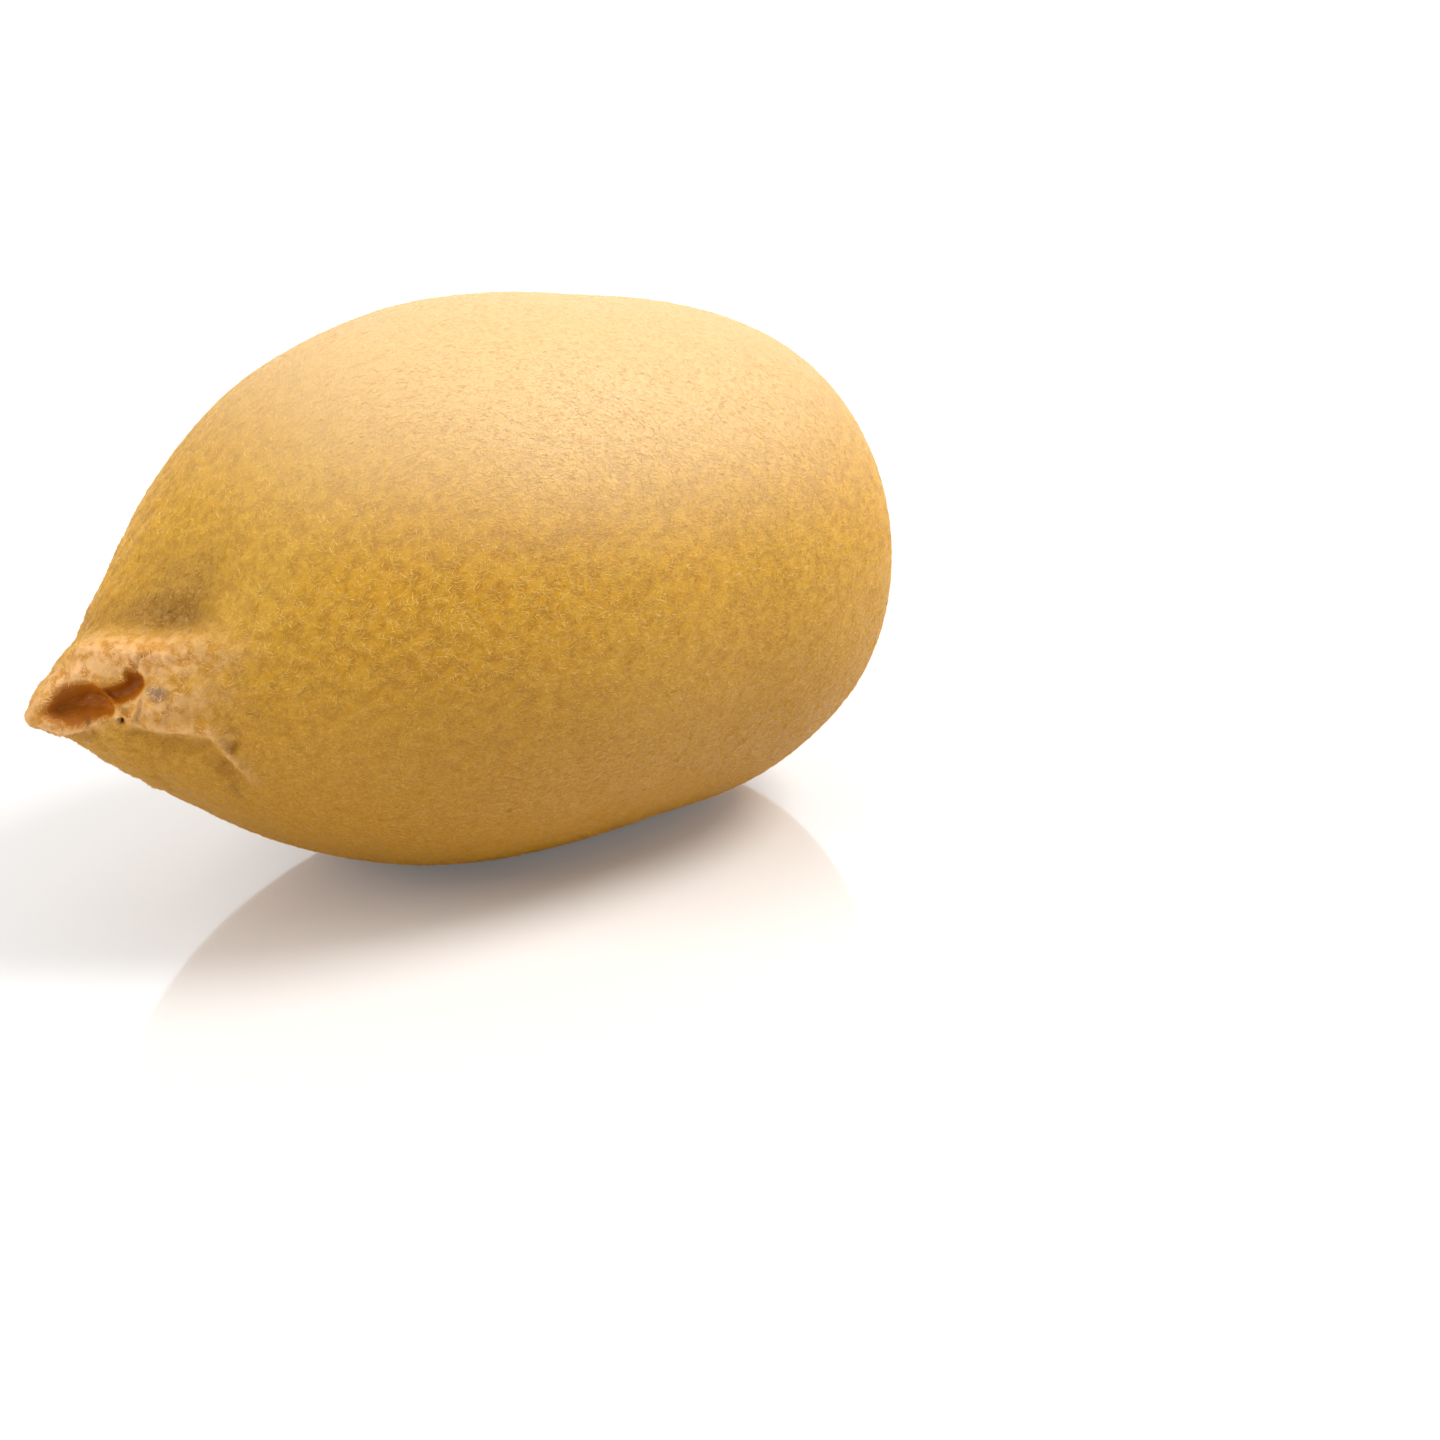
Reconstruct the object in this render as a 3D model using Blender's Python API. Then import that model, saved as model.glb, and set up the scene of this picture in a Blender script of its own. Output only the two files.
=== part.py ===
"""A whole golden kiwi fruit, as picked, lying on its side on a small flat spot.

The fruit is one solid. It is a long egg that runs out into a drooping beak at one end, where the flower was,
and is blunt at the other, where the stalk came off. The beak's tip is a folded lip round a hollow.

The body is first drawn along a straight axis: a distance from the beak's tip, and an angle round the axis that
is 90 at the top and 180 on the side towards -Y. Folds are then raised from it or pressed into it, and the
whole is tilted to the way it lies and pressed flat where it rests. The origin is under the middle of its box.
Every length below is in millimetres and every angle in degrees.
"""

import math

import bmesh
import bpy
import numpy as np

MM = 0.001
FRUIT = "kiwi_fruit"

# Body
LENGTH = 82.0
RADIUS_AT = (
    (0.0, 0.0),
    (1.5, 1.95),
    (4.0, 3.4),
    (8.0, 6.75),
    (13.0, 11.15),
    (19.0, 16.2),
    (27.0, 21.0),
    (36.0, 23.7),
    (46.0, 24.4),
    (56.0, 23.45),
    (66.0, 21.95),
    (74.0, 18.8),
    (79.0, 13.8),
    (LENGTH, 0.0),
)
DROOP_AT = (
    (0.0, 6.95),
    (4.0, 5.9),
    (9.0, 5.0),
    (16.0, 2.95),
    (25.0, 1.2),
    (36.0, 0.45),
    (48.0, 0.0),
    (60.0, 0.0),
    (LENGTH, 0.0),
)

# The way it lies
BEAK_UP = 5.6
FLAT_DEPTH = 0.45

# Mesh: points round the fruit, and the gap between its rings, which is smallest on the beak
SEGMENTS = 64
RING_GAP_AT = (
    (0.0, 0.4),
    (8.0, 0.45),
    (14.0, 0.7),
    (24.0, 2.2),
    (36.0, 3.2),
    (74.0, 3.2),
    (79.0, 2.2),
    (81.5, 1.0),
    (LENGTH, 0.7),
)
STEP_ALONG_FOLD = 0.2
# How hollows meet: 1 would add their depths, and a large number would keep the deeper of the two
BLEND = 3

# Folds, as lines over the body. A row of a line is the distance from the beak's tip, the angle, the half width
# and the height there, and the height of a hollow is negative. A soft fold fades out, a steep one has walls.
SOFT = 2
FIRM = 4
STEEP = 6
HOLLOW_IN_TIP = (
    (0.8, 162, 0.5, -0.4),
    (1.6, 162, 1.1, -1.0),
    (2.6, 161, 1.65, -1.8),
    (3.5, 164, 1.55, -2.2),
    (4.3, 172, 1.1, -2.0),
    (5.0, 180, 0.55, -1.2),
)
POCKET_BEHIND_IT = (
    (4.6, 162, 0.7, -1.2),
    (5.4, 163, 0.75, -1.3),
    (6.3, 162, 0.75, -1.4),
    (6.9, 157, 0.7, -1.3),
    (6.7, 148, 0.4, -0.7),
)
UPPER_LIP = (
    (4.2, 70, 1.2, 0.1),
    (5.1, 106, 1.2, 0.5),
    (6.6, 129, 1.2, 0.95),
    (8.0, 139, 1.1, 1.05),
    (9.6, 144, 1.1, 0.95),
    (11.4, 151, 1.3, 0.65),
    (13.5, 158, 1.6, 0.2),
)
LOWER_LIP = ((1.4, 206, 0.45, 0.1), (2.4, 213, 0.5, 0.4), (3.4, 204, 0.45, 0.3))
NOTCH_UNDER_LIP = ((3.3, 240, 0.6, -0.5), (3.8, 224, 0.6, -0.45), (4.4, 208, 0.5, -0.3))
TUCK_UNDER_TIP = ((0.7, 250, 0.8, -0.2), (1.6, 255, 1.0, -0.3), (2.8, 262, 0.9, -0.25))
DENT_ABOVE_LIP = (
    (7.0, 50, 1.8, -0.6),
    (7.4, 75, 1.8, -0.85),
    (8.0, 95, 1.9, -1.2),
    (8.9, 111, 2.0, -1.6),
    (10.0, 123, 2.0, -1.8),
    (11.1, 131, 1.6, -1.6),
)
SLOPE_INTO_DENT = ((9.5, 80, 2.4, -0.4), (10.6, 104, 3.0, -0.9), (12.0, 118, 2.6, -1.0), (14.0, 116, 2.0, -0.4))
NUB = ((8.2, 169, 1.2, 0.9), (10.4, 170, 1.4, 0.6), (12.8, 173, 1.2, 0.25))
STEP = ((6.6, 187, 0.5, 0.5), (8.2, 192, 0.6, 0.8), (10.4, 192, 0.6, 0.8), (12.4, 193, 0.7, 0.5))
GROOVE_UNDER_STEP = ((7.2, 200, 0.7, -0.5), (9.4, 201.5, 0.9, -0.75), (11.4, 201, 0.8, -0.55))
LONG_WRINKLE = ((12.0, 196, 0.45, 0.45), (13.2, 206, 0.5, 0.6), (15.4, 217, 0.6, 0.35))
DENT_BY_WRINKLE = ((12.6, 206, 0.6, -0.45), (13.5, 214, 0.8, -0.8), (14.8, 220, 0.7, -0.5))
STALK_RECESS = ((LENGTH, 0, 5.0, -1.6),)
STALK_SCAR = ((LENGTH, 0, 2.3, 1.0),)
FOLDS = (
    (STEEP, HOLLOW_IN_TIP),
    (FIRM, POCKET_BEHIND_IT),
    (SOFT, UPPER_LIP),
    (SOFT, LOWER_LIP),
    (SOFT, NOTCH_UNDER_LIP),
    (SOFT, TUCK_UNDER_TIP),
    (SOFT, DENT_ABOVE_LIP),
    (SOFT, SLOPE_INTO_DENT),
    (SOFT, NUB),
    (SOFT, STEP),
    (SOFT, GROOVE_UNDER_STEP),
    (SOFT, LONG_WRINKLE),
    (SOFT, DENT_BY_WRINKLE),
    (SOFT, STALK_RECESS),
    (STEEP, STALK_SCAR),
)

SKIN_COLOUR = (0.62, 0.36, 0.10, 1.0)
SKIN_ROUGHNESS = 0.75


def smooth_curve(rows, at):
    """Read a natural cubic curve through rows of (distance, value) at some distances."""
    xs, ys = np.array(rows).T
    gaps = np.diff(xs)
    slopes = np.diff(ys) / gaps
    bends = np.eye(len(xs))
    pulls = np.zeros(len(xs))
    for i in range(1, len(xs) - 1):
        bends[i, i - 1 : i + 2] = gaps[i - 1], 2 * (gaps[i - 1] + gaps[i]), gaps[i]
        pulls[i] = 6 * (slopes[i] - slopes[i - 1])
    curvature = np.linalg.solve(bends, pulls)
    i = np.clip(np.searchsorted(xs, at) - 1, 0, len(gaps) - 1)
    before = at - xs[i]
    after = xs[i + 1] - at
    bulge = curvature[i] * (after**2 - gaps[i] ** 2) * after + curvature[i + 1] * (before**2 - gaps[i] ** 2) * before
    return (ys[i] * after + ys[i + 1] * before + bulge / 6) / gaps[i]


def radius(at):
    """Give the body's radius, whose square is what runs smoothly to nothing at both ends."""
    squares = [(x, r * r) for x, r in RADIUS_AT]
    return np.sqrt(np.maximum(smooth_curve(squares, at), 0.0))


def on_body(at, angle):
    """Place points on the smooth body, from distances along the axis and angles round it."""
    r = radius(at)
    turn = np.radians(angle)
    middle = -smooth_curve(DROOP_AT, at)
    return np.stack([at + 0 * turn, r * np.cos(turn), middle + r * np.sin(turn)], axis=-1)


def ring_distances():
    """Space the rings by the gap that each part of the body asks for, measured over its surface."""
    fine = LENGTH * (1 - np.cos(np.linspace(0, math.pi, 2001))) / 2
    steps = np.hypot(np.diff(fine), np.diff(radius(fine)))
    gaps = np.interp(fine[1:], *np.array(RING_GAP_AT).T)
    rings = np.concatenate([[0], np.cumsum(steps / gaps)])
    count = round(rings[-1])
    return np.interp(np.linspace(0, rings[-1], count + 1), rings, fine)


def fold_heights(points, rows, sharpness):
    """Give the height of one fold at each of some points: that of the strongest spot along its line."""
    at, angle, half_width, height = np.array(rows, float).T
    if len(rows) > 1:
        run = np.linalg.norm(np.diff(on_body(at, angle), axis=0), axis=1)
        along = np.concatenate([[0], np.cumsum(run)])
        spots = np.linspace(0, along[-1], math.ceil(along[-1] / STEP_ALONG_FOLD) + 1)
        at, angle, half_width, height = (np.interp(spots, along, row) for row in (at, angle, half_width, height))
    away = np.linalg.norm(points[:, None] - on_body(at, angle)[None], axis=-1)
    heights = height * 0.5 ** ((away / half_width) ** sharpness)
    return heights[np.arange(len(points)), np.abs(heights).argmax(axis=1)]


def shape_body(mesh):
    """Turn a ball whose poles are on Z into the smooth body, with its top pole at the beak's tip."""
    rings = ring_distances()
    ball = bmesh.new()
    bmesh.ops.create_uvsphere(ball, u_segments=SEGMENTS, v_segments=len(rings) - 1, radius=1.0)
    spots = np.array([v.co for v in ball.verts])
    ring = np.rint(np.arccos(np.clip(spots[:, 2], -1, 1)) / math.pi * (len(rings) - 1)).astype(int)
    angle = np.degrees(np.arctan2(spots[:, 0], spots[:, 1]))
    for vert, place in zip(ball.verts, on_body(rings[ring], angle)):
        vert.co = place
    ball.normal_update()
    ball.to_mesh(mesh)
    ball.free()


def press_folds(mesh):
    """Move each point of the smooth body along its normal: ridges add up, and hollows run into each other."""
    points = np.array([v.co for v in mesh.vertices])
    normals = np.array([v.normal for v in mesh.vertices])
    heights = np.array([fold_heights(points, rows, sharpness) for sharpness, rows in FOLDS])
    raised = np.maximum(heights, 0).sum(axis=0)
    pressed = (np.maximum(-heights, 0) ** BLEND).sum(axis=0) ** (1 / BLEND)
    height = raised - pressed
    return points + normals * height[:, None]


def lay_down(points):
    """Tilt the beak up, press the underside flat where it rests, and put the origin under the box's middle."""
    tilt = math.radians(-BEAK_UP)
    x, y, z = points.T
    laid = np.stack([math.cos(tilt) * x - math.sin(tilt) * z, y, math.sin(tilt) * x + math.cos(tilt) * z], axis=-1)
    laid[:, 2] = np.maximum(laid[:, 2] - laid[:, 2].min() - FLAT_DEPTH, 0.0)
    laid[:, :2] -= (laid[:, :2].min(axis=0) + laid[:, :2].max(axis=0)) / 2
    return laid


def skin_material():
    """Make the matt golden skin."""
    material = bpy.data.materials.new("golden_skin")
    material.use_nodes = True
    shader = material.node_tree.nodes["Principled BSDF"]
    shader.inputs["Base Color"].default_value = SKIN_COLOUR
    shader.inputs["Roughness"].default_value = SKIN_ROUGHNESS
    shader.inputs["Metallic"].default_value = 0.0
    return material


def main():
    for old in list(bpy.data.objects):
        bpy.data.objects.remove(old, do_unlink=True)
    collection = bpy.data.collections.new("golden_kiwi_fruit")
    bpy.context.scene.collection.children.link(collection)
    mesh = bpy.data.meshes.new(FRUIT)
    shape_body(mesh)
    points = lay_down(press_folds(mesh)) * MM
    mesh.vertices.foreach_set("co", points.ravel())
    mesh.update()
    mesh.shade_smooth()
    mesh.materials.append(skin_material())
    collection.objects.link(bpy.data.objects.new(FRUIT, mesh))


main()
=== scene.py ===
"""The looks of a whole golden kiwi fruit, lying on its side on white acrylic under soft studio lamps."""

import math

import bpy
import numpy as np
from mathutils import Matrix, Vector, noise


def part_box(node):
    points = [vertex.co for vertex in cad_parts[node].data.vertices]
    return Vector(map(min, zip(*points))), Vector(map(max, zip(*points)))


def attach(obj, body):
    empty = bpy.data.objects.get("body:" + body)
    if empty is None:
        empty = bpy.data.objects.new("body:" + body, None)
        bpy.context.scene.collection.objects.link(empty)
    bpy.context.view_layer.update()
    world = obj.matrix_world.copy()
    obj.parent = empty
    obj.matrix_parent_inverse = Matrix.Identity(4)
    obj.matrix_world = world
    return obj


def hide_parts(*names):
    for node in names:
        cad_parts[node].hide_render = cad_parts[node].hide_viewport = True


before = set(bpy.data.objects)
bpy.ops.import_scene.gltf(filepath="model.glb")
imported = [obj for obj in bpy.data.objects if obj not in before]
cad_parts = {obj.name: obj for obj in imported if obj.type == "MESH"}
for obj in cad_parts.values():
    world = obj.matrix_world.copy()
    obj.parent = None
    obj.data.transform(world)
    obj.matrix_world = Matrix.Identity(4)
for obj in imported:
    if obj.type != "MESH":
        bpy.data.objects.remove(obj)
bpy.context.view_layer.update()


# Skin
# The fruit is one grown piece, so its skin is one closed surface, thin and matt, over firm flesh. It is a
# long egg that runs out into a drooping beak, where the flower was. The beak's tip is a folded lip round a
# brown hollow.
MM = 0.001

# Distances are in millimetres along a straight axis from the beak's tip, and angles in degrees round it: 90
# is the top, and 180 is the side towards -Y. The beak droops from that axis, and the axis is tilted.
LENGTH = 82.0
RADIUS_AT = (
    (0.0, 0.0),
    (1.5, 1.95),
    (4.0, 3.4),
    (8.0, 6.75),
    (13.0, 11.15),
    (19.0, 16.2),
    (27.0, 21.0),
    (36.0, 23.7),
    (46.0, 24.4),
    (56.0, 23.45),
    (66.0, 21.95),
    (74.0, 18.8),
    (79.0, 13.8),
    (LENGTH, 0.0),
)
DROOP_AT = (
    (0.0, 6.95),
    (4.0, 5.9),
    (9.0, 5.0),
    (16.0, 2.95),
    (25.0, 1.2),
    (36.0, 0.45),
    (48.0, 0.0),
    (60.0, 0.0),
    (LENGTH, 0.0),
)
BEAK_UP = 5.6
FLAT_DEPTH = 0.45

# Mesh: points round the fruit, the gap between its rings, which is smallest on the beak, and how many samples
# along the fruit the gaps are measured with
SKIN_SEGMENTS = 336
SKIN_RING_GAP_AT = ((0.0, 0.16), (8.0, 0.16), (15.0, 0.24), (22.0, 0.5), (80.0, 0.52), (LENGTH, 0.3))
RING_SAMPLES = 4001

# A row of a fold is the distance, the angle, the half width and the height there, and a hollow's height is
# negative. A soft fold fades out, a steep one has walls, and past its reach in half widths nothing is left.
STEP_ALONG_FOLD = 0.2
FOLD_REACH = 3
SOFT = 2
FIRM = 4
STEEP = 6
HOLLOW_IN_TIP = (
    (0.8, 162, 0.5, -0.4),
    (1.6, 162, 1.1, -1.0),
    (2.6, 161, 1.65, -1.8),
    (3.5, 164, 1.55, -2.2),
    (4.3, 172, 1.1, -2.0),
    (5.0, 180, 0.55, -1.2),
)
POCKET_BEHIND_IT = (
    (4.6, 162, 0.7, -1.2),
    (5.4, 163, 0.75, -1.3),
    (6.3, 162, 0.75, -1.4),
    (6.9, 157, 0.7, -1.3),
    (6.7, 148, 0.4, -0.7),
)
UPPER_LIP = (
    (4.2, 70, 1.2, 0.1),
    (5.1, 106, 1.2, 0.5),
    (6.6, 129, 1.2, 0.95),
    (8.0, 139, 1.1, 1.05),
    (9.6, 144, 1.1, 0.95),
    (11.4, 151, 1.3, 0.65),
    (13.5, 158, 1.6, 0.2),
)
LOWER_LIP = ((1.4, 206, 0.45, 0.1), (2.4, 213, 0.5, 0.4), (3.4, 204, 0.45, 0.3))
NOTCH_UNDER_LIP = ((3.3, 240, 0.6, -0.5), (3.8, 224, 0.6, -0.45), (4.4, 208, 0.5, -0.3))
TUCK_UNDER_TIP = ((0.7, 250, 0.8, -0.2), (1.6, 255, 1.0, -0.3), (2.8, 262, 0.9, -0.25))
DENT_ABOVE_LIP = (
    (7.0, 50, 1.8, -0.6),
    (7.4, 75, 1.8, -0.85),
    (8.0, 95, 1.9, -1.2),
    (8.9, 111, 2.0, -1.6),
    (10.0, 123, 2.0, -1.8),
    (11.1, 131, 1.6, -1.6),
)
SLOPE_INTO_DENT = (
    (9.5, 80, 2.4, -0.4),
    (10.6, 104, 3.0, -0.9),
    (12.0, 118, 2.6, -1.0),
    (14.0, 116, 2.0, -0.4),
)
NUB = ((8.2, 169, 1.2, 0.9), (10.4, 170, 1.4, 0.6), (12.8, 173, 1.2, 0.25))
STEP = ((6.6, 187, 0.5, 0.5), (8.2, 192, 0.6, 0.8), (10.4, 192, 0.6, 0.8), (12.4, 193, 0.7, 0.5))
GROOVE_UNDER_STEP = ((7.2, 200, 0.7, -0.5), (9.4, 201.5, 0.9, -0.75), (11.4, 201, 0.8, -0.55))
LONG_WRINKLE = ((12.0, 196, 0.45, 0.45), (13.2, 206, 0.5, 0.6), (15.4, 217, 0.6, 0.35))
DENT_BY_WRINKLE = ((12.6, 206, 0.6, -0.45), (13.5, 214, 0.8, -0.8), (14.8, 220, 0.7, -0.5))
STALK_RECESS = ((LENGTH, 0, 5.0, -1.6),)
STALK_SCAR = ((LENGTH, 0, 2.3, 1.0),)

# Finer folds: the dried threads in the hollow, the little lumps along the lips, and creases on the beak
THREAD = (
    (4.6, 150, 0.16, 0.2),
    (5.1, 167, 0.2, 0.45),
    (5.8, 176, 0.2, 0.5),
    (6.3, 185, 0.2, 0.4),
    (6.7, 185, 0.2, 0.4),
    (6.9, 177, 0.18, 0.4),
    (7.0, 168, 0.16, 0.25),
)
HOLE = ((6.0, 190, 0.26, -0.7),)
LIP_EDGE = (
    (2.6, 105, 0.35, 0.1),
    (3.6, 118, 0.4, 0.25),
    (4.3, 134, 0.35, 0.1),
    (4.7, 144, 0.4, 0.35),
    (5.1, 149, 0.35, 0.15),
    (5.5, 153, 0.4, 0.35),
    (6.2, 151, 0.35, 0.2),
    (6.8, 145, 0.35, 0.25),
)
CREASE_BY_LIP = ((7.1, 150, 0.2, -0.25), (7.2, 143, 0.2, -0.3), (7.7, 140, 0.22, -0.3), (8.6, 141, 0.2, -0.1))
BUMPS_BY_NUB = ((9.7, 158, 0.4, 0.1), (10.1, 159, 0.45, 0.22), (10.5, 160, 0.3, 0.05), (10.9, 161, 0.45, 0.2))
DIMPLE = ((13.2, 200.5, 0.55, -0.35),)
PIT = ((14.8, 226, 0.4, -0.22),)
CREASES_UNDER_STEP = (
    ((11.3, 203, 0.25, -0.12), (11.9, 210, 0.3, -0.22), (12.4, 217, 0.25, -0.05)),
    ((10.3, 206, 0.25, -0.08), (10.6, 214, 0.3, -0.18), (11.2, 222, 0.25, -0.04)),
    ((8.4, 208, 0.25, -0.06), (8.6, 218, 0.3, -0.16), (9.2, 228, 0.25, -0.04)),
    ((14.2, 224, 0.3, -0.05), (15.6, 229, 0.35, -0.16), (17.4, 232, 0.3, -0.03)),
)
FOLDS = (
    (STEEP, HOLLOW_IN_TIP),
    (FIRM, POCKET_BEHIND_IT),
    (SOFT, UPPER_LIP),
    (SOFT, LOWER_LIP),
    (SOFT, NOTCH_UNDER_LIP),
    (SOFT, TUCK_UNDER_TIP),
    (SOFT, DENT_ABOVE_LIP),
    (SOFT, SLOPE_INTO_DENT),
    (SOFT, NUB),
    (SOFT, STEP),
    (SOFT, GROOVE_UNDER_STEP),
    (SOFT, LONG_WRINKLE),
    (SOFT, DENT_BY_WRINKLE),
    (SOFT, STALK_RECESS),
    (STEEP, STALK_SCAR),
    (FIRM, THREAD),
    (STEEP, HOLE),
    (SOFT, LIP_EDGE),
    (SOFT, CREASE_BY_LIP),
    (SOFT, BUMPS_BY_NUB),
    (FIRM, DIMPLE),
    (SOFT, PIT),
    *((SOFT, rows) for rows in CREASES_UNDER_STEP),
)
# How hollows meet: 1 would add their depths, and a large number would keep the deeper of the two
BLEND = 3

# How uneven the skin is: broad lumps on the body, creases on the beak, crumbs on its pink lips and a fine
# grain all over. Of a noise's layers, the numbers say how they fade, how much finer each is, and how many.
LUMP_SIZE = 9.0
LUMP_HEIGHT = 0.12
CREASE_SIZE = 2.0
CREASE_HEIGHT = 0.2
CREASE_LAYERS = (0.7, 2.2, 3)
BEAK_END_AT = (9.0, 24.0)
CRUMB_SIZE = 0.95
CRUMB_HEIGHT = 0.12
GRAIN_SIZE = 0.8
GRAIN_HEIGHT = 0.045
GRAIN_LAYERS = (0.9, 2.1, 2)

# Colour marks, some of them painted shade and highlight: rows as of a fold, with how strong the colour is
# in place of a height
PINK_UPPER_LIP = (
    (0.4, 150, 1.6, 1.0),
    (2.5, 108, 2.0, 1.0),
    (5.0, 118, 2.1, 1.0),
    (7.2, 138, 1.9, 1.0),
    (9.4, 148, 2.0, 0.9),
    (11.5, 156, 1.6, 0.6),
    (14.0, 160, 1.2, 0.15),
)
PINK_LOWER_LIP = ((0.4, 195, 1.2, 1.0), (1.6, 210, 1.3, 1.0), (3.0, 208, 1.1, 1.0), (4.2, 198, 0.8, 0.8))
# The pink on the nub, the step and the long wrinkle is partly the beak's own colour and partly painted
# highlight along these raised folds
PINK_AND_HIGHLIGHT_ON_NUB = ((6.4, 176, 1.0, 0.8), (8.2, 176, 1.6, 0.9), (10.4, 174, 1.6, 0.6), (12.6, 176, 1.2, 0.2))
PINK_AND_HIGHLIGHT_ON_STEP = ((5.6, 184, 0.6, 0.7), (8.2, 192, 0.8, 0.8), (10.6, 192, 0.8, 0.75), (12.6, 193, 0.7, 0.4))
PINK_AND_HIGHLIGHT_ON_WRINKLE = ((12.2, 197, 0.5, 0.4), (13.3, 206, 0.5, 0.55), (15.4, 217, 0.6, 0.3))
PINKS_AND_RIDGE_HIGHLIGHTS = (PINK_UPPER_LIP, PINK_LOWER_LIP, PINK_AND_HIGHLIGHT_ON_NUB, PINK_AND_HIGHLIGHT_ON_STEP, PINK_AND_HIGHLIGHT_ON_WRINKLE)
# Painted shade in the dent above the lip
SHADE_IN_DENT = (
    (7.6, 78, 1.4, 0.3),
    (8.6, 100, 1.9, 0.8),
    (9.8, 112, 2.1, 1.0),
    (11.0, 122, 1.8, 1.0),
    (12.4, 118, 1.8, 0.7),
    (14.0, 112, 1.5, 0.3),
)
SHADE_PER_DEPTH = 0.6
BLOSSOM_SCAR = ((7.9, 165, 0.45, 0.8), (8.3, 168, 0.6, 1.0), (8.8, 168, 0.35, 0.6))
# Dark specks, with painted shade laid in the small hole, in the crease by the lip and in the pit
SPECKS_AND_RECESS_SHADE = (
    ((6.0, 190, 0.3, 1.0),),
    ((3.9, 198, 0.2, 0.7),),
    ((13.9, 185, 0.2, 0.55), (14.4, 186, 0.15, 0.55)),
    ((14.6, 225, 0.35, 0.4), (15.2, 227, 0.25, 0.4)),
    ((7.1, 149, 0.14, 0.6), (7.6, 141, 0.14, 0.6), (8.4, 142, 0.1, 0.3)),
)


def smooth_curve(rows, at):
    """Read a natural cubic curve through rows of (distance, value) at some distances."""
    xs, ys = np.array(rows).T
    gaps = np.diff(xs)
    slopes = np.diff(ys) / gaps
    bends = np.eye(len(xs))
    pulls = np.zeros(len(xs))
    for i in range(1, len(xs) - 1):
        bends[i, i - 1 : i + 2] = gaps[i - 1], 2 * (gaps[i - 1] + gaps[i]), gaps[i]
        pulls[i] = 6 * (slopes[i] - slopes[i - 1])
    curvature = np.linalg.solve(bends, pulls)
    i = np.clip(np.searchsorted(xs, at) - 1, 0, len(gaps) - 1)
    before = at - xs[i]
    after = xs[i + 1] - at
    bulge = curvature[i] * (after**2 - gaps[i] ** 2) * after
    bulge += curvature[i + 1] * (before**2 - gaps[i] ** 2) * before
    return (ys[i] * after + ys[i + 1] * before + bulge / 6) / gaps[i]


def radius(at):
    """Give the body's radius, whose square is what runs smoothly to nothing at both ends."""
    squares = [(x, r * r) for x, r in RADIUS_AT]
    return np.sqrt(np.maximum(smooth_curve(squares, at), 0.0))


def on_body(at, angle):
    """Place points on the smooth body, from distances along the axis and angles round it."""
    r = radius(at)
    turn = np.radians(angle)
    middle = -smooth_curve(DROOP_AT, at)
    return np.stack([at + 0 * turn, r * np.cos(turn), middle + r * np.sin(turn)], axis=-1)


def ring_distances():
    """Space the rings by the gap that each part of the skin asks for, measured over its surface."""
    fine = LENGTH * (1 - np.cos(np.linspace(0, math.pi, RING_SAMPLES))) / 2
    steps = np.hypot(np.diff(fine), np.diff(radius(fine)))
    gaps = np.interp(fine[1:], *np.array(SKIN_RING_GAP_AT).T)
    rings = np.concatenate([[0], np.cumsum(steps / gaps)])
    count = round(rings[-1])
    return np.interp(np.linspace(0, rings[-1], count + 1), rings, fine)


def fold_heights(points, rows, sharpness):
    """Give the height of one fold at each of some points: that of the strongest spot along its line."""
    at, angle, half_width, height = np.array(rows, float).T
    reach = FOLD_REACH * half_width.max()
    near = (points[:, 0] > at.min() - reach) & (points[:, 0] < at.max() + reach)
    if len(rows) > 1:
        run = np.linalg.norm(np.diff(on_body(at, angle), axis=0), axis=1)
        along = np.concatenate([[0], np.cumsum(run)])
        spots = np.linspace(0, along[-1], math.ceil(along[-1] / STEP_ALONG_FOLD) + 1)
        at, angle, half_width, height = (
            np.interp(spots, along, row) for row in (at, angle, half_width, height)
        )
    away = np.linalg.norm(points[near][:, None] - on_body(at, angle)[None], axis=-1)
    heights = height * 0.5 ** ((away / half_width) ** sharpness)
    found = np.zeros(len(points))
    found[near] = heights[np.arange(len(away)), np.abs(heights).argmax(axis=1)]
    return found


def sorted_triangles(mesh):
    """Give a mesh's faces as triangles in a fixed order, because a new sphere's own order changes each run."""
    triangles = []
    for face in mesh.polygons:
        corners = list(face.vertices)
        start = corners.index(min(corners))
        corners = corners[start:] + corners[:start]
        triangles += [(corners[0], *pair) for pair in zip(corners[1:], corners[2:])]
    return np.array(sorted(triangles))


def outward_normals(points, triangles):
    """Work out which way is outwards at each point of a closed surface of triangles."""
    first, second, third = (points[triangles[:, i]] for i in range(3))
    across = np.cross(second - first, third - first)
    normals = np.zeros_like(points)
    for i in range(3):
        np.add.at(normals, triangles[:, i], across)
    return normals / np.linalg.norm(normals, axis=1, keepdims=True)


def layered_noise(points, size, layers):
    """Read a noise in some layers at each of some points, about from -1 to 1."""
    return np.array([noise.fractal(Vector(point) / size, *layers) for point in points])


def lay_down(points, low, high):
    """Tilt the beak up, press the underside flat where it rests, and put the fruit in the middle of a box."""
    tilt = math.radians(-BEAK_UP)
    x, y, z = points.T
    laid_x = math.cos(tilt) * x - math.sin(tilt) * z
    laid_z = math.sin(tilt) * x + math.cos(tilt) * z
    laid = np.stack([laid_x, y, laid_z], axis=-1)
    laid[:, 2] = np.maximum(laid[:, 2] - laid[:, 2].min() - FLAT_DEPTH, 0.0)
    middle = [(low[i] + high[i]) / 2 / MM for i in (0, 1)]
    laid[:, :2] += middle - (laid[:, :2].min(axis=0) + laid[:, :2].max(axis=0)) / 2
    return laid


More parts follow.
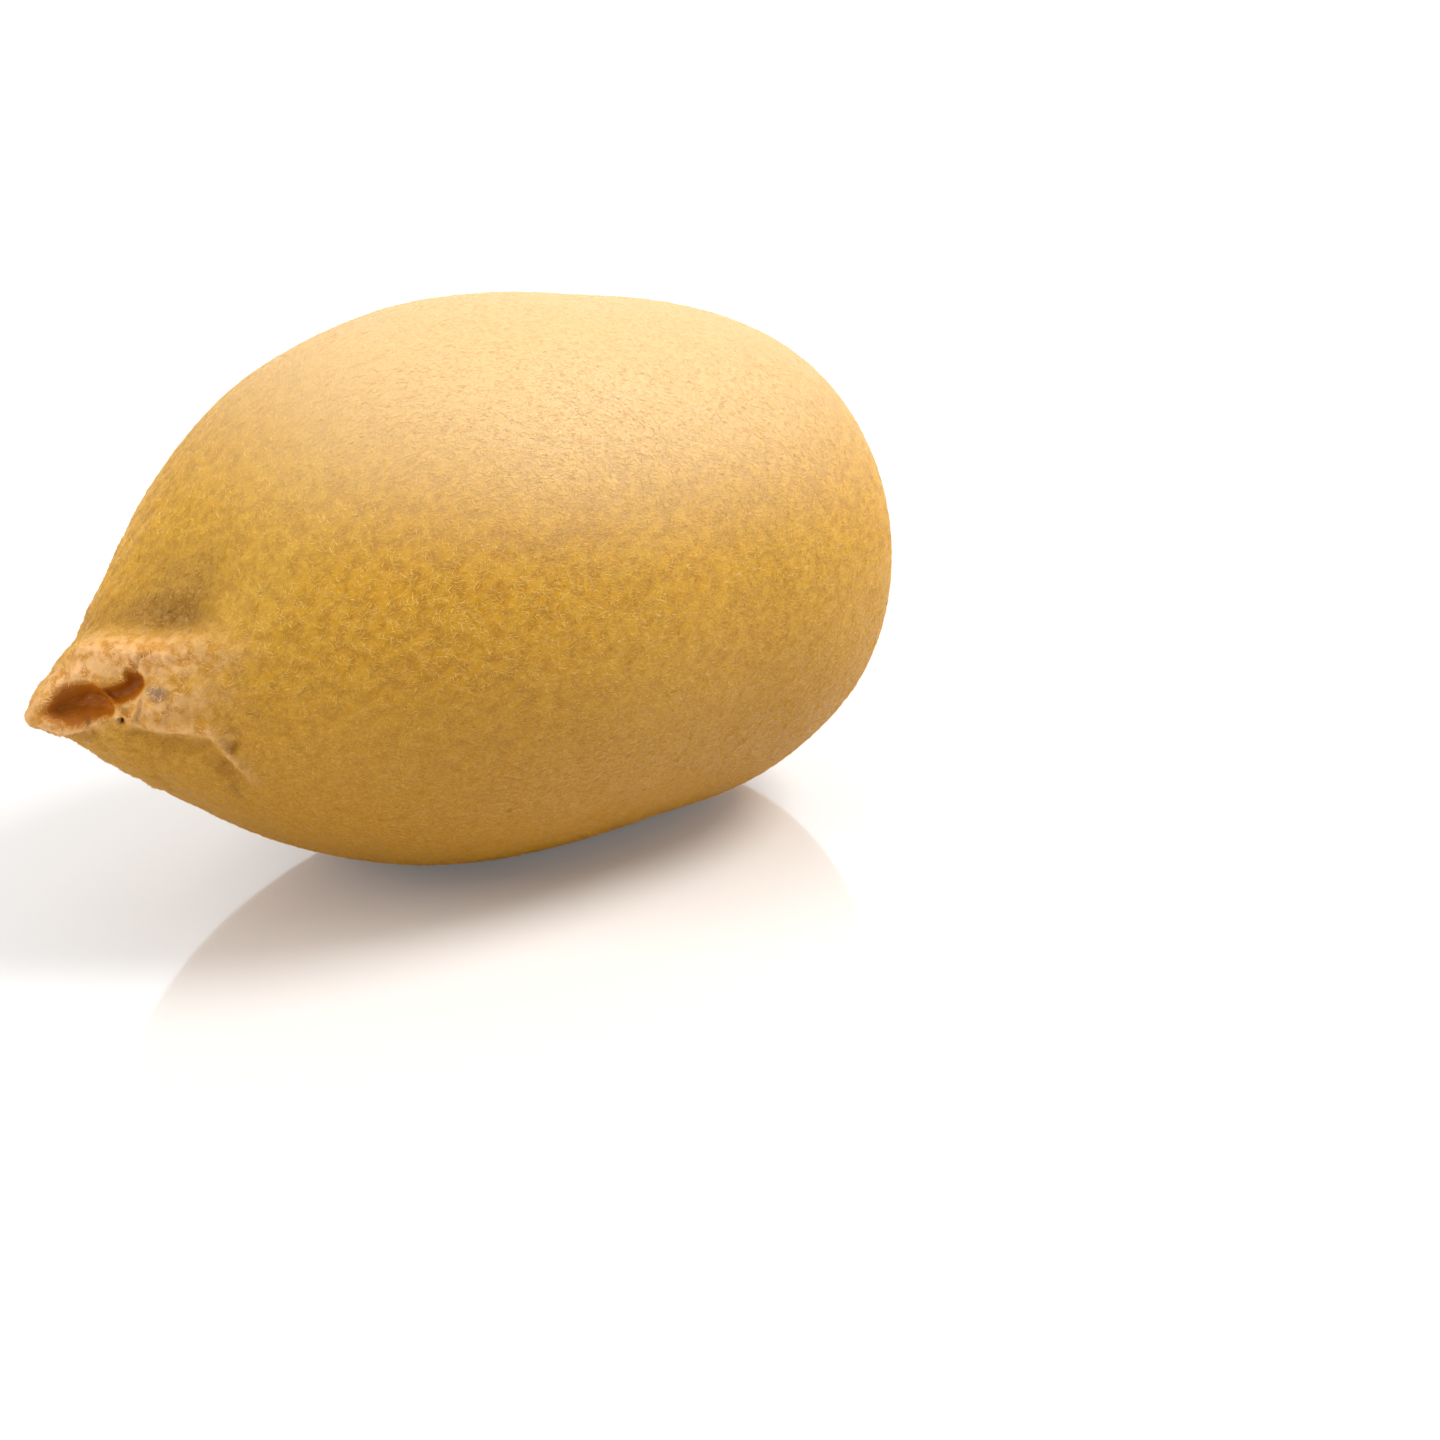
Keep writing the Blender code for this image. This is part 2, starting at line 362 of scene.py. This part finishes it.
def add_mask(mesh, name, values):
    """Store a number from 0 to 1 for each point of a mesh."""
    attribute = mesh.attributes.new(name, "FLOAT", "POINT")
    attribute.data.foreach_set("value", np.clip(values, 0, 1).astype(np.float32))


rings = ring_distances()
bpy.ops.object.select_all(action="DESELECT")
bpy.ops.mesh.primitive_uv_sphere_add(segments=SKIN_SEGMENTS, ring_count=len(rings) - 1, radius=1.0)
skin = bpy.context.object
skin.name = "golden_kiwi_skin"
mesh = skin.data
spots = np.empty(len(mesh.vertices) * 3)
mesh.vertices.foreach_get("co", spots)
spots = spots.reshape(-1, 3)
from_pole = np.arccos(np.clip(spots[:, 2], -1, 1))
distance = rings[np.rint(from_pole / math.pi * (len(rings) - 1)).astype(int)]
body_points = on_body(distance, np.degrees(np.arctan2(spots[:, 0], spots[:, 1])))
triangles = sorted_triangles(mesh)
body_normals = outward_normals(body_points, triangles)

heights = np.array([fold_heights(body_points, rows, sharpness) for sharpness, rows in FOLDS])
raised = np.maximum(heights, 0).sum(axis=0)
pressed = (np.maximum(-heights, 0) ** BLEND).sum(axis=0) ** (1 / BLEND)
beak = np.interp(distance, BEAK_END_AT, (1, 0))
# The beak's pink, partly its own colour and partly painted highlight along its lips and raised folds
pink_and_ridge_highlight = np.max([fold_heights(body_points, rows, SOFT) for rows in PINKS_AND_RIDGE_HIGHLIGHTS], axis=0)
lumps = np.array([noise.noise(Vector(point) / LUMP_SIZE) for point in body_points])
creases = layered_noise(body_points, CREASE_SIZE, CREASE_LAYERS)
crumbs = layered_noise(body_points, CRUMB_SIZE, GRAIN_LAYERS)
grain = layered_noise(body_points, GRAIN_SIZE, GRAIN_LAYERS)
uneven = LUMP_HEIGHT * lumps + CREASE_HEIGHT * creases * beak
uneven += CRUMB_HEIGHT * crumbs * pink_and_ridge_highlight
uneven += GRAIN_HEIGHT * grain
relief = raised - pressed + uneven
skin_points = lay_down(body_points + body_normals * relief[:, None], *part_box("kiwi_fruit"))
mesh.vertices.foreach_set("co", (skin_points * MM).ravel())
mesh.update()
bpy.ops.object.shade_smooth()

tip_hollow = fold_heights(body_points, HOLLOW_IN_TIP, STEEP)
pocket = fold_heights(body_points, POCKET_BEHIND_IT, FIRM)
hollow_depth = -tip_hollow - pocket
# Painted shade: the folds are darkened as deeply as they are pressed, outside the hollow, and so is the dent
# above the lip
shade_in_folds = SHADE_PER_DEPTH * pressed * (1 - np.clip(hollow_depth, 0, 1))
painted_fold_shade = np.maximum(fold_heights(body_points, SHADE_IN_DENT, SOFT), shade_in_folds)
stalk = fold_heights(body_points, STALK_SCAR, FIRM)
skin_masks = {
    "hollow": hollow_depth,
    "pink_and_ridge_highlight": pink_and_ridge_highlight,
    "crumbs": 0.5 + 0.5 * crumbs,
    "grain": 0.5 + 0.5 * grain,
    "painted_fold_shade": painted_fold_shade,
    "stalk": stalk,
    "scar": fold_heights(body_points, BLOSSOM_SCAR, FIRM),
    "speck_and_recess_shade": sum(fold_heights(body_points, rows, FIRM) for rows in SPECKS_AND_RECESS_SHADE),
}
for name, values in skin_masks.items():
    add_mask(mesh, name, values)


def add_node(tree, kind, inputs=(), **settings):
    """Add a shader node, with its settings, and with a value or a link for each input that is given."""
    node = tree.nodes.new(kind)
    for name, value in settings.items():
        setattr(node, name, value)
    for name, value in dict(inputs).items():
        if isinstance(value, bpy.types.NodeSocket):
            tree.links.new(value, node.inputs[name])
        else:
            node.inputs[name].default_value = value
    return node


def blend_colours(tree, share, first, second):
    """Mix two colours, each a value or a link."""
    mix = add_node(tree, "ShaderNodeMix", data_type="RGBA")
    for socket, value in ((mix.inputs[0], share), (mix.inputs[6], first), (mix.inputs[7], second)):
        if isinstance(value, bpy.types.NodeSocket):
            tree.links.new(value, socket)
        else:
            socket.default_value = value
    return mix.outputs[2]


def math_node(tree, operation, first, second):
    """Work out one number from two, each a value or a link."""
    return add_node(tree, "ShaderNodeMath", {0: first, 1: second}, operation=operation).outputs[0]


def stretch_range(tree, value, low, high, to_low=0.0, to_high=1.0):
    """Spread a range of a value over another range, with no steps."""
    return add_node(
        tree,
        "ShaderNodeMapRange",
        {"Value": value, "From Min": low, "From Max": high, "To Min": to_low, "To Max": to_high},
        interpolation_type="SMOOTHSTEP",
    ).outputs["Result"]


def place_in_millimetres(tree):
    """Read where a point of the object is, in millimetres."""
    place = add_node(tree, "ShaderNodeTexCoord").outputs["Object"]
    scale = (1 / MM, 1 / MM, 1 / MM)
    return add_node(
        tree, "ShaderNodeVectorMath", {0: place, 1: scale}, operation="MULTIPLY"
    ).outputs["Vector"]


def read_sources(tree, masks, groups):
    """Read what a material goes by: numbers stored with the mesh, and what some groups put out."""
    sources = {
        name: add_node(tree, "ShaderNodeAttribute", attribute_name=name).outputs["Fac"] for name in masks
    }
    for group in groups:
        sources.update(add_node(tree, "ShaderNodeGroup", node_tree=group).outputs.items())
    return sources


def lay_colours(tree, colour, sources, layers):
    """Lay colours over each other. A row of a layer is where it shows, how strongly, and its colour."""
    for source, strength, over in layers:
        share = math_node(tree, "MULTIPLY", sources[source], strength)
        colour = blend_colours(tree, share, colour, over)
    return colour


# The pattern of the down: two layers of short bent strokes, patches, broad tones, and pores here and there.
# A range is the part of a noise that is spread from 0 to 1.
STROKE_LENGTH = 0.26
STROKE_WIDTH = 0.11
STROKE_TURNS = ((0.0, 0.35, 0.5), (0.2, -0.4, -0.9))
STROKE_BEND = (0.6, 0.6, 0.6)
BENDS_A_MILLIMETRE = 1.4
STROKE_RANGE = (0.42, 0.72)
PATCH_SIZE = 2.2
PATCH_RANGE = (0.32, 0.68)
TONE_SIZE = 14.0
TONE_RANGE = (0.36, 0.64)
PORE_GAP = 1.6
PORE_EDGE = (0.06, 0.15)
PORES_KEPT = (0.6, 0.95)


def felt_group():
    """Make the pattern of the down: pale strokes laid every way, patches, broad tones and fine pores."""
    group = bpy.data.node_groups.new("lying down", "ShaderNodeTree")
    for name in ("Strokes", "Patches", "Tone", "Pores"):
        group.interface.new_socket(name, in_out="OUTPUT", socket_type="NodeSocketFloat")
    output = group.nodes.new("NodeGroupOutput")
    place = place_in_millimetres(group)
    bend = add_node(
        group, "ShaderNodeTexNoise", {"Vector": place, "Scale": BENDS_A_MILLIMETRE, "Detail": 1.0}
    ).outputs["Color"]
    bent = add_node(
        group, "ShaderNodeVectorMath", {0: bend, 1: STROKE_BEND, 2: place}, operation="MULTIPLY_ADD"
    ).outputs["Vector"]
    layers = []
    for turn in STROKE_TURNS:
        scale = (0.5 / STROKE_LENGTH, 0.5 / STROKE_WIDTH, 0.5 / STROKE_WIDTH)
        lie = add_node(group, "ShaderNodeMapping", {"Vector": bent, "Rotation": turn, "Scale": scale})
        hairs = add_node(
            group,
            "ShaderNodeTexNoise",
            {"Vector": lie.outputs["Vector"], "Scale": 1.0, "Detail": 3.0, "Roughness": 0.65},
        )
        layers.append(hairs.outputs["Fac"])
    strokes = math_node(group, "MAXIMUM", *layers)
    group.links.new(stretch_range(group, strokes, *STROKE_RANGE), output.inputs["Strokes"])
    patches = add_node(
        group,
        "ShaderNodeTexNoise",
        {"Vector": place, "Scale": 0.5 / PATCH_SIZE, "Detail": 4.0, "Roughness": 0.7},
    ).outputs["Fac"]
    group.links.new(stretch_range(group, patches, *PATCH_RANGE), output.inputs["Patches"])
    tone = add_node(
        group, "ShaderNodeTexNoise", {"Vector": place, "Scale": 0.5 / TONE_SIZE, "Detail": 2.0}
    ).outputs["Fac"]
    group.links.new(stretch_range(group, tone, *TONE_RANGE), output.inputs["Tone"])
    pores = add_node(group, "ShaderNodeTexVoronoi", {"Vector": place, "Scale": 1 / PORE_GAP})
    near = stretch_range(group, pores.outputs["Distance"], *PORE_EDGE, 1.0, 0.0)
    chance = add_node(group, "ShaderNodeSeparateColor", {"Color": pores.outputs["Color"]}).outputs["Red"]
    chosen = stretch_range(group, chance, *PORES_KEPT)
    group.links.new(math_node(group, "MULTIPLY", near, chosen), output.inputs["Pores"])
    return group


# The side of the painted highlight, how far along it that highlight starts and is full, and the heights at
# which the painted shade on the underside starts and is full
HIGHLIGHT_SIDE = (0.12, -0.08, 0.98)
HIGHLIGHT_SIDE_AT = (31.0, 47.0)
SHADE_BELOW_AT = (33.0, 8.0)


def painted_light_group():
    """Give a painted highlight on the fruit's upper side and painted shade below, from where a point is."""
    group = bpy.data.node_groups.new("painted highlight and shade", "ShaderNodeTree")
    for name in ("painted_highlight", "painted_shade_below"):
        group.interface.new_socket(name, in_out="OUTPUT", socket_type="NodeSocketFloat")
    output = group.nodes.new("NodeGroupOutput")
    place = place_in_millimetres(group)
    towards_highlight = add_node(
        group, "ShaderNodeVectorMath", {0: place, 1: HIGHLIGHT_SIDE}, operation="DOT_PRODUCT"
    ).outputs["Value"]
    height = add_node(group, "ShaderNodeSeparateXYZ", {"Vector": place}).outputs["Z"]
    under = stretch_range(group, height, *reversed(SHADE_BELOW_AT), 1.0, 0.0)
    group.links.new(stretch_range(group, towards_highlight, *HIGHLIGHT_SIDE_AT), output.inputs["painted_highlight"])
    group.links.new(under, output.inputs["painted_shade_below"])
    return group


felt = felt_group()
highlight_and_shade = painted_light_group()

OCHRE_DARK = (0.48, 0.20, 0.001, 1.0)
OCHRE = (0.68, 0.32, 0.003, 1.0)
OCHRE_GREEN = (0.55, 0.31, 0.005, 1.0)
OCHRE_SHADE_BELOW = (0.44, 0.19, 0.002, 1.0)
OCHRE_HIGHLIGHT = (0.80, 0.55, 0.28, 1.0)
OCHRE_RANGE = (0.25, 0.7)
CREAM = (0.84, 0.52, 0.10, 1.0)
PINK = (0.90, 0.51, 0.21, 1.0)
PINK_DARK = (0.60, 0.24, 0.03, 1.0)
PINK_RANGE = (0.3, 0.62)
FOLD_SHADE_BROWN = (0.28, 0.12, 0.002, 1.0)
HOLLOW_BROWN = (0.42, 0.12, 0.001, 1.0)
SCAR_GREY = (0.34, 0.19, 0.10, 1.0)
STALK_BROWN = (0.16, 0.07, 0.02, 1.0)
SPECK_AND_RECESS_SHADE_BROWN = (0.10, 0.03, 0.01, 1.0)
PORE_BROWN = (0.46, 0.17, 0.008, 1.0)

# The rim of the hollow is pink, and inside it the brown starts at a ragged edge, which the crumbs push out
# and the strokes push in
RIM_RANGE = (0.02, 0.3)
HOLLOW_EDGE = (0.55, 0.8)
EDGE_BY_CRUMBS = 0.5
EDGE_BY_STROKES = -0.3

# Heights of the fine relief, in millimetres, and the skin's finish
STROKE_HEIGHT = 0.03
PATCH_HEIGHT = 0.05
PORE_HEIGHT = -0.03
SKIN_FINISH = {"Roughness": 0.42, "IOR": 1.5, "Specular IOR Level": 0.3}


def skin_material():
    """Make the matt golden skin under its flat down, the rosy folds of the beak and its brown hollow."""
    material = bpy.data.materials.new("golden skin")
    material.use_nodes = True
    tree = material.node_tree
    shader = tree.nodes["Principled BSDF"]
    sources = read_sources(tree, skin_masks, (felt, highlight_and_shade))
    by_crumbs = math_node(tree, "MULTIPLY", sources["crumbs"], EDGE_BY_CRUMBS)
    by_strokes = math_node(tree, "MULTIPLY", sources["Strokes"], EDGE_BY_STROKES)
    ragged = math_node(tree, "ADD", math_node(tree, "ADD", sources["hollow"], by_crumbs), by_strokes)
    sources["rim"] = stretch_range(tree, sources["hollow"], *RIM_RANGE)
    sources["inside"] = stretch_range(tree, ragged, *HOLLOW_EDGE)
    ochre = blend_colours(tree, stretch_range(tree, sources["grain"], *OCHRE_RANGE), OCHRE_DARK, OCHRE)
    lips = blend_colours(tree, stretch_range(tree, sources["crumbs"], *PINK_RANGE), PINK_DARK, PINK)
    # Over the ochre lie a random tone, a painted highlight on the upper side, painted shade below, pores,
    # painted shade in the folds and the dent, the beak's pink with painted highlight on its ridges, the down's
    # strokes, the hollow, the scars, and specks with painted shade in the hole, crease and pit
    layers = (
        ("Tone", 0.35, OCHRE_GREEN),
        ("painted_highlight", 0.9, OCHRE_HIGHLIGHT),
        ("painted_shade_below", 1.0, OCHRE_SHADE_BELOW),
        ("Pores", 0.6, PORE_BROWN),
        ("painted_fold_shade", 0.85, FOLD_SHADE_BROWN),
        ("pink_and_ridge_highlight", 1.0, lips),
        ("Strokes", 0.35, CREAM),
        ("rim", 1.0, PINK_DARK),
        ("inside", 1.0, HOLLOW_BROWN),
        ("scar", 1.0, SCAR_GREY),
        ("stalk", 1.0, STALK_BROWN),
        ("speck_and_recess_shade", 1.0, SPECK_AND_RECESS_SHADE_BROWN),
    )
    tree.links.new(lay_colours(tree, ochre, sources, layers), shader.inputs["Base Color"])
    for name, value in SKIN_FINISH.items():
        shader.inputs[name].default_value = value
    strokes = math_node(tree, "MULTIPLY", sources["Strokes"], STROKE_HEIGHT * MM)
    patches = math_node(tree, "MULTIPLY", sources["Patches"], PATCH_HEIGHT * MM)
    pores = math_node(tree, "MULTIPLY", sources["Pores"], PORE_HEIGHT * MM)
    height = math_node(tree, "ADD", math_node(tree, "ADD", strokes, patches), pores)
    bump = add_node(tree, "ShaderNodeBump", {"Height": height, "Distance": 1.0, "Strength": 1.0})
    tree.links.new(bump.outputs["Normal"], shader.inputs["Normal"])
    return material


mesh.materials.append(skin_material())
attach(skin, "root")
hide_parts("kiwi_fruit")


# Down
# Short pale hairs, soft and pressed flat, grow all over the skin except in the hollow and on the stalk scar.
# Each is a thin spike a third to two thirds of a millimetre long. They lie every way, most of them along the
# fruit, and are kept as four pieces, one behind another from the beak to the stalk end.
HAIRS_A_PIECE = 47000
DOWN_PIECES = 4
DRAW_SEED = 11
HAIR_LENGTH = (0.32, 0.66)
HAIR_WIDTH = 0.1
HAIR_THICKNESS = 0.05
HAIR_SUNK = 0.02
HAIR_LIFT = (1.0, 13.0)
HAIR_SWIRL = 60.0
HAIR_LOWEST = 0.02
BARE_BELOW = 0.3
BARE_FROM = 0.3

# A hair's shade is partly its own and partly the grain's of the skin below it
OWN_SHADE = 0.65
GRAIN_SHADE = 0.35
GRAIN_CONTRAST = 0.9
HAIR_CREAM = (0.99, 0.70, 0.18, 1.0)
HAIR_OCHRE = (0.56, 0.24, 0.002, 1.0)
HAIR_HIGHLIGHT = (0.86, 0.60, 0.33, 1.0)
HAIR_SHADE_BELOW = (0.58, 0.27, 0.003, 1.0)
HAIR_PINK = (0.98, 0.62, 0.31, 1.0)
HAIR_FOLD_SHADE = (0.36, 0.16, 0.004, 1.0)
# The hair takes the same painted highlight on the upper side and painted shade below and in the folds, and the
# beak's pink with painted highlight on its ridges
HAIR_LAYERS = (
    ("painted_highlight", 0.9, HAIR_HIGHLIGHT),
    ("painted_shade_below", 0.85, HAIR_SHADE_BELOW),
    ("pink_and_ridge_highlight", 0.8, HAIR_PINK),
    ("painted_fold_shade", 0.85, HAIR_FOLD_SHADE),
)
HAIR_MASKS = ("shade", "pink_and_ridge_highlight", "painted_fold_shade")
HAIR_FINISH = {"Roughness": 0.5, "IOR": 1.5, "Specular IOR Level": 0.3}


def hair_material():
    """Make the pale hair, each a little lighter or darker than the next, as the skin under it."""
    material = bpy.data.materials.new("pale hair")
    material.use_nodes = True
    tree = material.node_tree
    shader = tree.nodes["Principled BSDF"]
    sources = read_sources(tree, HAIR_MASKS, (highlight_and_shade,))
    colour = blend_colours(tree, sources["shade"], HAIR_OCHRE, HAIR_CREAM)
    tree.links.new(lay_colours(tree, colour, sources, HAIR_LAYERS), shader.inputs["Base Color"])
    for name, value in HAIR_FINISH.items():
        shader.inputs[name].default_value = value
    return material


bpy.ops.object.select_all(action="DESELECT")
bpy.ops.mesh.primitive_cone_add(vertices=3, radius1=0.5, radius2=0.0, depth=1.0, end_fill_type="NGON")
spike = bpy.context.object
spike_points = np.array([vert.co for vert in spike.data.vertices]) + (0, 0, 0.5)
spike_faces = [tuple(face.vertices) for face in spike.data.polygons]
bpy.data.objects.remove(spike, do_unlink=True)

first, second, third = (skin_points[triangles[:, i]] for i in range(3))
across = np.cross(second - first, third - first)
areas = np.linalg.norm(across, axis=1) / 2
bare = np.maximum(hollow_depth, stalk)[triangles].max(axis=1) > BARE_FROM
bare |= skin_points[triangles][:, :, 2].min(axis=1) < BARE_BELOW
chances = np.where(bare, 0, areas)
draw = np.random.default_rng(DRAW_SEED)
picked = draw.choice(len(triangles), HAIRS_A_PIECE * DOWN_PIECES, p=chances / chances.sum())
picked = picked[np.argsort(first[picked, 0])]
share = np.sqrt(draw.random((len(picked), 1)))
slide = draw.random((len(picked), 1))
roots = first[picked] * (1 - share) + second[picked] * share * (1 - slide) + third[picked] * share * slide
outward = across[picked] / np.linalg.norm(across[picked], axis=1, keepdims=True)
along = (1.0, 0.0, 0.0) - outward * outward[:, :1]
along /= np.linalg.norm(along, axis=1, keepdims=True)
round_it = np.cross(outward, along)
swirl = np.radians(draw.normal(0.0, HAIR_SWIRL, (len(picked), 1)))
lift = np.radians(draw.uniform(*HAIR_LIFT, (len(picked), 1)))
flat = along * np.cos(swirl) + round_it * np.sin(swirl)
pointing = flat * np.cos(lift) + outward * np.sin(lift)
beside = np.cross(outward, flat)
above = np.cross(pointing, beside)
lengths = draw.uniform(*HAIR_LENGTH, (len(picked), 1))
below = triangles[picked, 0]
own_shades = OWN_SHADE * draw.random(len(picked))
shades = own_shades + GRAIN_SHADE * np.clip(0.5 + GRAIN_CONTRAST * grain[below], 0, 1)
roots -= outward * HAIR_SUNK
hairs = (
    roots[:, None]
    + spike_points[None, :, :1] * HAIR_WIDTH * beside[:, None]
    + spike_points[None, :, 1:2] * HAIR_THICKNESS * above[:, None]
    + spike_points[None, :, 2:] * (lengths * pointing)[:, None]
)
hairs[..., 2] = np.maximum(hairs[..., 2], HAIR_LOWEST)
hair_faces = [
    [corner + len(spike_points) * hair for corner in face]
    for hair in range(HAIRS_A_PIECE)
    for face in spike_faces
]
pale_hair = hair_material()
for number in range(DOWN_PIECES):
    chosen = slice(number * HAIRS_A_PIECE, (number + 1) * HAIRS_A_PIECE)
    hair_mesh = bpy.data.meshes.new(f"down_{number + 1}")
    hair_mesh.from_pydata(hairs[chosen].reshape(-1, 3) * MM, [], hair_faces)
    for name, values in zip(HAIR_MASKS, (shades, pink_and_ridge_highlight[below], painted_fold_shade[below])):
        add_mask(hair_mesh, name, np.repeat(values[chosen], len(spike_points)))
    hair_mesh.materials.append(pale_hair)
    down = bpy.data.objects.new(hair_mesh.name, hair_mesh)
    bpy.context.scene.collection.objects.link(down)
    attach(down, "root")


# Floor
# The fruit lies on a sheet of white acrylic that runs out of sight. The sheet has a painted glow, seen
# only by the camera, that is weak near the fruit, where it paints the shadows paler, and full further out.
# Its polish mirrors the fruit faintly.
FLOOR_RADIUS = 2.5
FLOOR_WHITE = (0.86, 0.86, 0.86, 1.0)
FLOOR_FINISH = {"Metallic": 0.18, "Roughness": 0.07}
FLOOR_LIGHT = (1.0, 1.0, 1.0, 1.0)
FLOOR_GLOW = 0.13
FLOOR_GLOW_FAR = 1.0
FLOOR_GLOW_REACH = (0.15, 0.8)

bpy.ops.object.select_all(action="DESELECT")
bpy.ops.mesh.primitive_circle_add(vertices=96, radius=FLOOR_RADIUS, fill_type="NGON", location=(0, 0, 0))
floor = bpy.context.object
floor.name = "floor"
floor_white = bpy.data.materials.new("white acrylic")
floor_white.use_nodes = True
floor_tree = floor_white.node_tree
floor_shader = floor_tree.nodes["Principled BSDF"]
floor_shader.inputs["Base Color"].default_value = FLOOR_WHITE
floor_shader.inputs["Emission Color"].default_value = FLOOR_LIGHT
for name, value in FLOOR_FINISH.items():
    floor_shader.inputs[name].default_value = value
floor_place = add_node(floor_tree, "ShaderNodeTexCoord").outputs["Object"]
floor_away = add_node(
    floor_tree, "ShaderNodeVectorMath", {0: floor_place}, operation="LENGTH"
).outputs["Value"]
# Painted glow, seen only by the camera: weak near the fruit, which pales its shadows, and full far off
floor_glow = stretch_range(floor_tree, floor_away, *FLOOR_GLOW_REACH, FLOOR_GLOW, FLOOR_GLOW_FAR)
floor_seen = add_node(floor_tree, "ShaderNodeLightPath").outputs["Is Camera Ray"]
floor_glow = math_node(floor_tree, "MULTIPLY", floor_glow, floor_seen)
floor_tree.links.new(floor_glow, floor_shader.inputs["Emission Strength"])
floor.data.materials.append(floor_white)


# Studio light
# Wide soft lamps stand over the fruit and round it in a room that is white to look at. The strongest two
# hang high on the right, for the broad shine on the fruit's upper side, and on the left, over the beak. The
# one behind would show in the polished floor, so it gives no mirror image.
ROOM_BRIGHTNESS = 0.02
ROOM_BRIGHTNESS_SEEN = 1.0
UNMIRRORED = "lamp behind"
LAMPS = (
    ("lamp above", (0.0, 0.0, 1.0), 1.2, 1.0, 2.8),
    ("lamp on the right", (0.575, -0.256, 0.777), 0.5, 1.0, 8.4),
    ("lamp behind", (0.4, 0.6, 0.7), 1.0, 1.0, 2.0),
    ("lamp on the far right", (0.9, -0.3, 0.5), 0.8, 1.0, 3.0),
    ("lamp on the left", (-0.8, 0.1, 0.6), 0.8, 1.0, 7.4),
)

room = bpy.data.worlds.new("white room")
room.use_nodes = True
room_tree = room.node_tree
background = room_tree.nodes["Background"]
background.inputs["Color"].default_value = (1.0, 1.0, 1.0, 1.0)
rays = add_node(room_tree, "ShaderNodeLightPath").outputs
room_seen = math_node(room_tree, "MAXIMUM", rays["Is Camera Ray"], rays["Is Glossy Ray"])
room_light = stretch_range(room_tree, room_seen, 0.0, 1.0, ROOM_BRIGHTNESS, ROOM_BRIGHTNESS_SEEN)
room_tree.links.new(room_light, background.inputs["Strength"])
bpy.context.scene.world = room

low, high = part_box("kiwi_fruit")
middle = (low + high) / 2
for name, side, size, away, watts in LAMPS:
    towards = Vector(side).normalized()
    lamp = bpy.data.objects.new(name, bpy.data.lights.new(name, "AREA"))
    lamp.data.shape = "DISK"
    lamp.data.size = size
    lamp.data.energy = watts
    lamp.location = middle + towards * away
    lamp.visible_glossy = name != UNMIRRORED
    lamp.rotation_euler = (-towards).to_track_quat("-Z", "Y").to_euler()
    bpy.context.scene.collection.objects.link(lamp)
bpy.context.scene.view_settings.view_transform = "Standard"


# Camera
# It stands in front of the beak's side and looks a little down, with the fruit filling the upper left of
# the view. A pair of angles is how high up, and how far round from -Y towards -X.
LENS = 128.875
CAMERA_DISTANCE = 0.450
CAMERA_FROM = (20.4, 34.05)
CAMERA_BACK = (22.08, 36.65)
AIM_X = 0.0063
AIM_HEIGHT = 0.024


def direction(elevation, turn):
    """Give the direction at an elevation, and turned from -Y towards -X."""
    up, round_z = math.radians(elevation), math.radians(turn)
    flat = math.cos(up)
    return Vector((-math.sin(round_z) * flat, -math.cos(round_z) * flat, math.sin(up)))


camera = bpy.data.objects.new("camera", bpy.data.cameras.new("camera"))
camera.data.lens = LENS
camera.location = Vector((AIM_X, 0, AIM_HEIGHT)) + direction(*CAMERA_FROM) * CAMERA_DISTANCE
camera.rotation_euler = (-direction(*CAMERA_BACK)).to_track_quat("-Z", "Y").to_euler()
bpy.context.scene.collection.objects.link(camera)
bpy.context.scene.camera = camera
